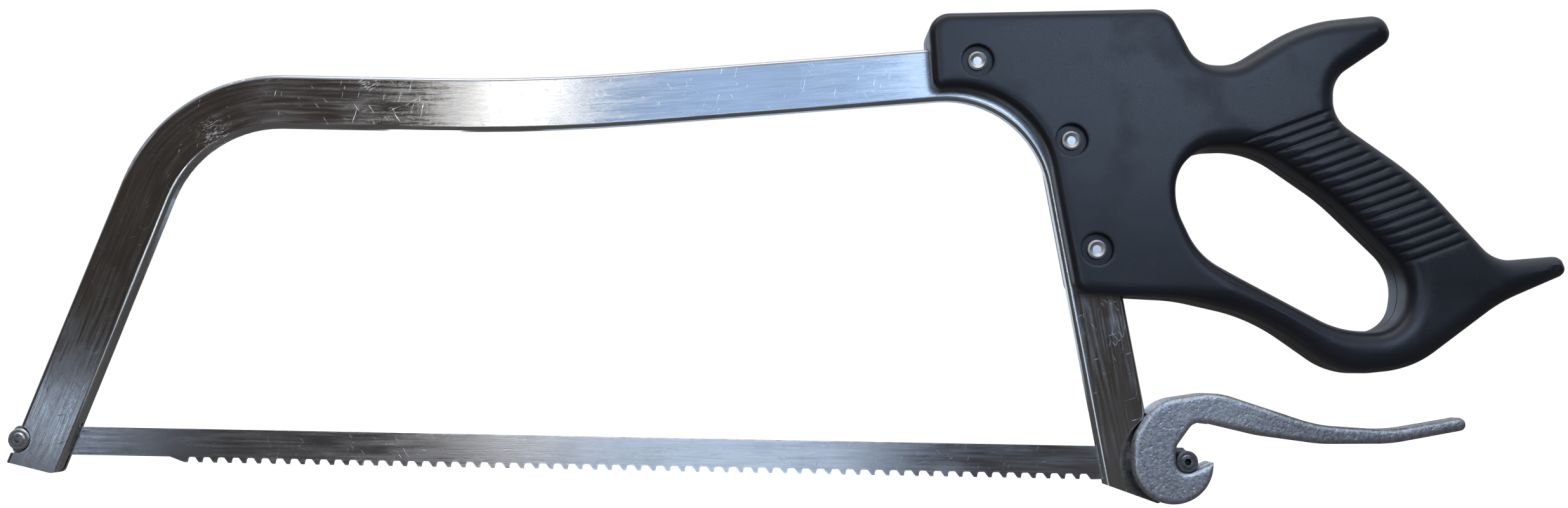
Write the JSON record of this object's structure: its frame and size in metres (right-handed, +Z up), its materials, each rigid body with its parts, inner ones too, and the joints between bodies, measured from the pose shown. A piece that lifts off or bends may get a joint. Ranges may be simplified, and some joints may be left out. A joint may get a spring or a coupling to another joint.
{
  "type": "bow saw",
  "caption": "Butcher's bow saw: a bent flat steel bar with a moulded pistol-grip handle, a pinned coarse-toothed blade and a cast cam lever that pulls the blade tight.",
  "frame": {"origin": "middle of the saw's bounding box, at its lowest height", "axes": "+X along the blade from the front end to the handle, +Y across the bar away from the near shell, +Z up from the teeth to the bow"},
  "size_m": [0.5938, 0.026, 0.1897],
  "materials": {
    "stainless_bar": "brushed along its length",
    "handle_plastic": "satin moulded",
    "fastener_steel": "bright",
    "dowel_plastic": "plain",
    "blade_steel": "polished strip with set teeth",
    "collar_steel": "turned",
    "cast_lever": "rough cast, worn bright at the rim"
  },
  "bodies": {
    "saw_frame": {"bow_frame": "stainless_bar", "handle_shell_near": "handle_plastic", "handle_shell_far": "handle_plastic", "handle_screw_1": "fastener_steel", "handle_screw_2": "fastener_steel", "handle_screw_3": "fastener_steel", "handle_sleeve_nut_1": "fastener_steel", "handle_sleeve_nut_2": "fastener_steel", "handle_sleeve_nut_3": "fastener_steel", "handle_dowel_upper": "dowel_plastic", "handle_dowel_lower": "dowel_plastic"},
    "lever": {"tension_lever": "cast_lever"},
    "blade_set": {"blade": "blade_steel", "blade_front_rivet": "collar_steel", "blade_rear_rivet": "collar_steel", "blade_front_collar_near": "collar_steel", "blade_front_collar_far": "collar_steel", "blade_rear_collar_near": "collar_steel", "blade_rear_collar_far": "collar_steel"}
  },
  "joints": [
    {"name": "lever_pivot", "type": "hinge", "parent": "saw_frame", "child": "lever", "pos_m": [0.14724, 0, 0.0154], "axis": [0, 1, 0], "range_deg": [0, 100]},
    {"name": "blade_pivot", "type": "hinge", "parent": "lever", "child": "blade_set", "pos_m": [0.15254, 0, 0.0162], "axis": [0, 1, 0], "range_deg": [-100, 0]}
  ],
  "couplings": [
    {"joint": "blade_pivot", "follows": "lever_pivot", "ratio": -0.991}
  ]
}
